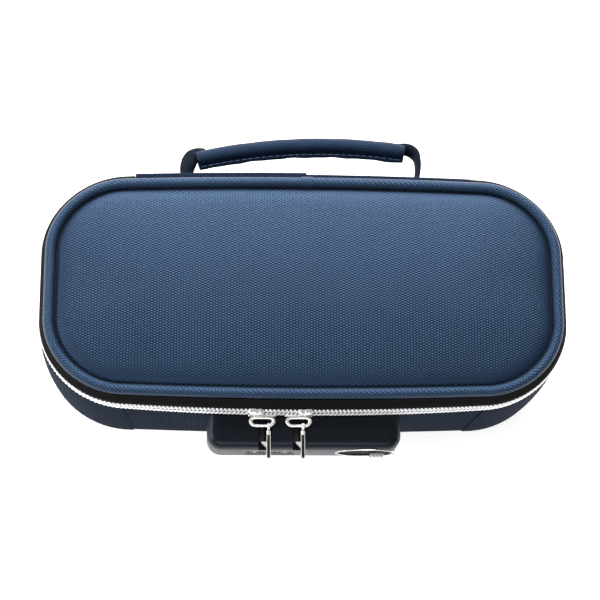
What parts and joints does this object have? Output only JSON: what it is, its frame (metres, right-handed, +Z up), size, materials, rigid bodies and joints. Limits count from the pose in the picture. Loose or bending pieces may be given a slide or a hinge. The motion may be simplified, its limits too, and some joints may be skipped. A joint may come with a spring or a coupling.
{
  "type": "lockable cash deposit bag",
  "caption": "Soft-sided zipped case with a hinged lid, a padded carry handle and a moulded number lock that catches the zip pull tabs.",
  "frame": {"origin": "middle of the base's underside, under the middle of the lid's plan", "axes": "+Z up, +X to the right along the long side, -Y towards the lock, +Y towards the handle"},
  "size_m": [0.2574, 0.165, 0.0751],
  "materials": {
    "navy_cloth": "coated polyester oxford, fine dotted weave",
    "navy_webbing": "woven polyester webbing",
    "zip_tape": "black woven zip tape",
    "zip_teeth": "bright silver coil",
    "lining": "plain polyester lining",
    "foam": "closed-cell foam",
    "board": "polypropylene board",
    "lock_plastic": "satin moulded black plastic",
    "dial_plastic": "moulded black with white digits",
    "bright_nickel": "bright nickel-plated zinc",
    "dark_plated": "black-nickel-plated zinc",
    "plain_steel": "zinc-plated steel"
  },
  "bodies": {
    "base": {"wall_front_cloth": "navy_cloth", "wall_left_cloth": "navy_cloth", "wall_right_cloth": "navy_cloth", "wall_back_cloth": "navy_cloth", "wall_foam": "foam", "wall_lining": "lining", "base_cloth": "navy_cloth", "base_board": "board", "base_lining": "lining", "lower_tape": "zip_tape", "lower_teeth": "zip_teeth", "handle_patch_left": "navy_cloth", "handle_patch_right": "navy_cloth", "lock_housing": "lock_plastic", "lock_back_plate": "plain_steel", "lock_screw_1": "plain_steel", "lock_screw_2": "plain_steel", "lock_screw_3": "plain_steel", "lock_screw_4": "plain_steel", "dial_shaft": "plain_steel", "dish_rim": "bright_nickel"},
    "lid": {"lid_cover_cloth": "navy_cloth", "lid_board": "foam", "lid_lining": "lining", "lid_piping": "navy_cloth", "hinge_cloth": "navy_cloth", "upper_tape": "zip_tape", "upper_teeth": "zip_teeth"},
    "handle": {"grip_cover": "navy_cloth", "grip_core": "foam", "handle_leg_left": "navy_webbing", "handle_leg_right": "navy_webbing"},
    "slider_left": {"slider_left": "bright_nickel", "slider_back_left": "bright_nickel"},
    "slider_right": {"slider_right": "bright_nickel", "slider_back_right": "bright_nickel"},
    "bail_left": {"bail_left": "bright_nickel"},
    "bail_right": {"bail_right": "bright_nickel"},
    "tab_left": {"tab_left": "bright_nickel"},
    "tab_right": {"tab_right": "bright_nickel"},
    "dial_1": {"dial_1": "dial_plastic"},
    "dial_2": {"dial_2": "dial_plastic"},
    "dial_3": {"dial_3": "dial_plastic"},
    "latch": {"latch_bar": "plain_steel", "latch_spring": "plain_steel", "thumb_catch": "dark_plated"}
  },
  "joints": [
    {"name": "lid_hinge", "type": "hinge", "parent": "base", "child": "lid", "pos_m": [0, 0.05855, 0.06335], "axis": [-1, 0, 0], "range_deg": [0, 100]},
    {"name": "handle_swing", "type": "hinge", "parent": "base", "child": "handle", "pos_m": [0, 0.06415, 0.042], "axis": [1, 0, 0], "range_deg": [-80, 25], "stiffness_Nm_per_rad": 0.03},
    {"name": "slider_left_slide", "type": "slide", "parent": "base", "child": "slider_left", "axis": [1, 0, 0], "range_m": [-0.0008, 0.0002]},
    {"name": "slider_right_slide", "type": "slide", "parent": "base", "child": "slider_right", "axis": [1, 0, 0], "range_m": [-0.0008, 0.0002]},
    {"name": "bail_left_swing", "type": "hinge", "parent": "slider_left", "child": "bail_left", "pos_m": [-0.02, -0.06205, 0.0623], "axis": [-1, 0, 0], "range_deg": [0, 25]},
    {"name": "bail_right_swing", "type": "hinge", "parent": "slider_right", "child": "bail_right", "pos_m": [-0.0028, -0.06205, 0.0623], "axis": [-1, 0, 0], "range_deg": [0, 25]},
    {"name": "tab_left_swing", "type": "hinge", "parent": "bail_left", "child": "tab_left", "pos_m": [-0.0169, -0.06515, 0.0613], "axis": [-1, 0, 0], "range_deg": [0, 90]},
    {"name": "tab_right_swing", "type": "hinge", "parent": "bail_right", "child": "tab_right", "pos_m": [-0.0007, -0.06515, 0.0613], "axis": [-1, 0, 0], "range_deg": [0, 90]},
    {"name": "dial_1_spin", "type": "hinge", "parent": "base", "child": "dial_1", "pos_m": [-0.0232, -0.06925, 0.04601], "axis": [1, 0, 0], "continuous": true},
    {"name": "dial_2_spin", "type": "hinge", "parent": "base", "child": "dial_2", "pos_m": [-0.016, -0.06925, 0.04601], "axis": [1, 0, 0], "continuous": true},
    {"name": "dial_3_spin", "type": "hinge", "parent": "base", "child": "dial_3", "pos_m": [-0.0088, -0.06925, 0.04601], "axis": [1, 0, 0], "continuous": true},
    {"name": "latch_slide", "type": "slide", "parent": "base", "child": "latch", "axis": [-1, 0, 0], "range_m": [0, 0.005], "stiffness_N_per_m": 150, "springref_m": -0.004}
  ]
}
